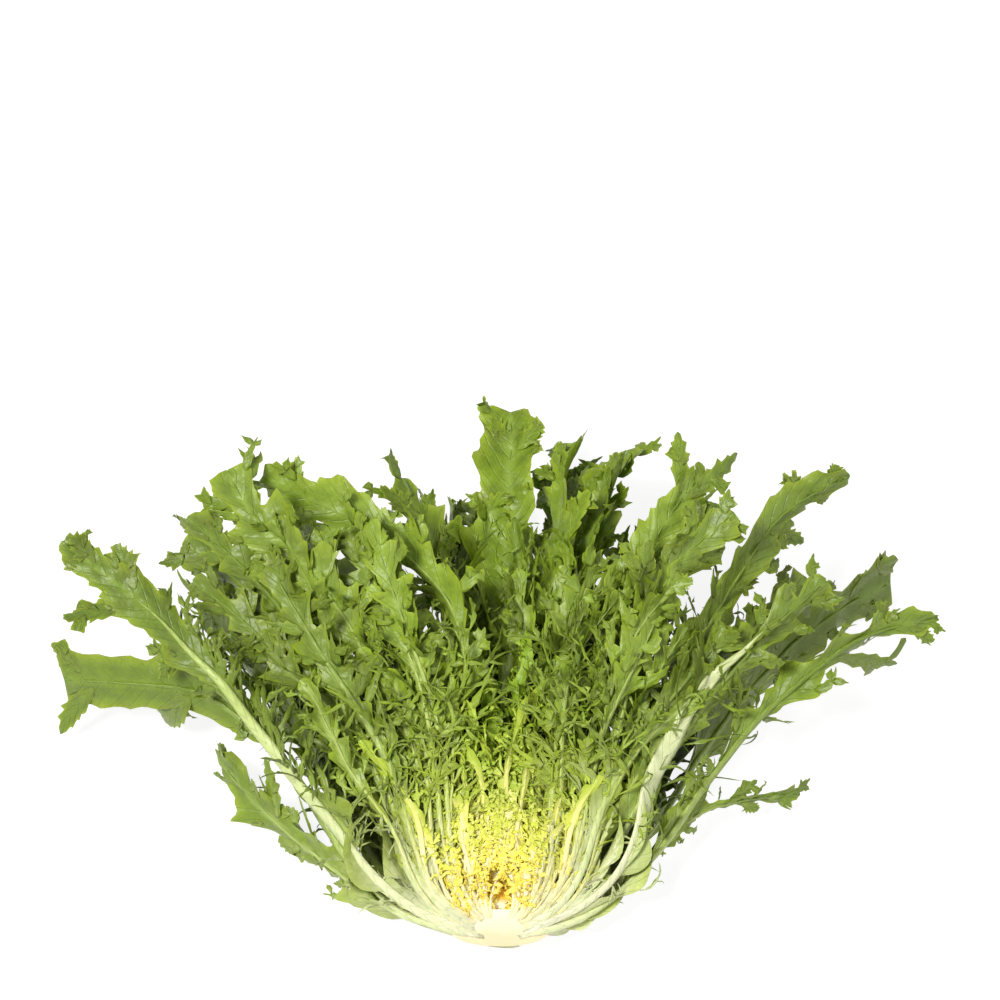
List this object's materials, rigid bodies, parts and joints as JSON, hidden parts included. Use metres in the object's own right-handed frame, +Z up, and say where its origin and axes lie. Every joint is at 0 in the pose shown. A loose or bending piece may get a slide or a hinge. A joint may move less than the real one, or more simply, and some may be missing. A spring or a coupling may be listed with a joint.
{
  "type": "curly endive half head",
  "caption": "Half of a curly endive head, cut lengthwise through its crown, with frilled leaves fanning out from a pale heart.",
  "frame": {"origin": "centre of the small flat under the crown, on which the half head rests", "axes": "+X across the fan of leaves, +Y from the trimmed butt towards the leaf tips, +Z up; the cut face looks up and towards -Y"},
  "size_m": [0.3572, 0.222, 0.0973],
  "materials": {
    "crown_flesh": "moist cut stem flesh, cream white",
    "outer_green_leaf": "waxy green leaf with a pale midrib",
    "mid_green_leaf": "bright green frilled leaf with a fine pale rib",
    "heart_yellow_leaf": "blanched yellow leaf with a white rib"
  },
  "bodies": {
    "root": {"crown": "crown_flesh", "table_leaf_1": "outer_green_leaf", "table_leaf_2": "outer_green_leaf", "table_leaf_3": "outer_green_leaf", "table_leaf_4": "outer_green_leaf", "table_leaf_5": "outer_green_leaf", "outer_leaf_1": "outer_green_leaf", "outer_leaf_2": "outer_green_leaf", "outer_leaf_3": "outer_green_leaf", "outer_leaf_4": "outer_green_leaf", "outer_leaf_5": "outer_green_leaf", "outer_leaf_6": "outer_green_leaf", "rib_leaf_1": "outer_green_leaf", "rib_leaf_2": "outer_green_leaf", "rib_leaf_3": "outer_green_leaf", "rib_leaf_4": "outer_green_leaf", "rib_leaf_5": "outer_green_leaf", "rib_leaf_6": "outer_green_leaf", "rib_leaf_7": "outer_green_leaf", "broad_leaf_1": "outer_green_leaf", "broad_leaf_2": "outer_green_leaf", "broad_leaf_3": "outer_green_leaf", "broad_leaf_4": "outer_green_leaf", "broad_leaf_5": "outer_green_leaf", "broad_leaf_6": "outer_green_leaf", "tall_leaf_1": "mid_green_leaf", "tall_leaf_2": "mid_green_leaf", "tall_leaf_3": "mid_green_leaf", "tall_leaf_4": "mid_green_leaf", "tall_leaf_5": "mid_green_leaf", "tall_leaf_6": "mid_green_leaf", "middle_leaf_1": "mid_green_leaf", "middle_leaf_2": "mid_green_leaf", "middle_leaf_3": "mid_green_leaf", "middle_leaf_4": "mid_green_leaf", "middle_leaf_5": "mid_green_leaf", "young_leaf_1": "mid_green_leaf", "young_leaf_2": "mid_green_leaf", "young_leaf_3": "mid_green_leaf", "young_leaf_4": "mid_green_leaf", "young_leaf_5": "mid_green_leaf", "inner_leaf_1": "heart_yellow_leaf", "inner_leaf_2": "heart_yellow_leaf", "inner_leaf_3": "heart_yellow_leaf", "inner_leaf_4": "heart_yellow_leaf", "heart_leaf_1": "heart_yellow_leaf", "heart_leaf_2": "heart_yellow_leaf", "heart_leaf_3": "heart_yellow_leaf", "heart_tuft": "heart_yellow_leaf"}
  },
  "joints": []
}
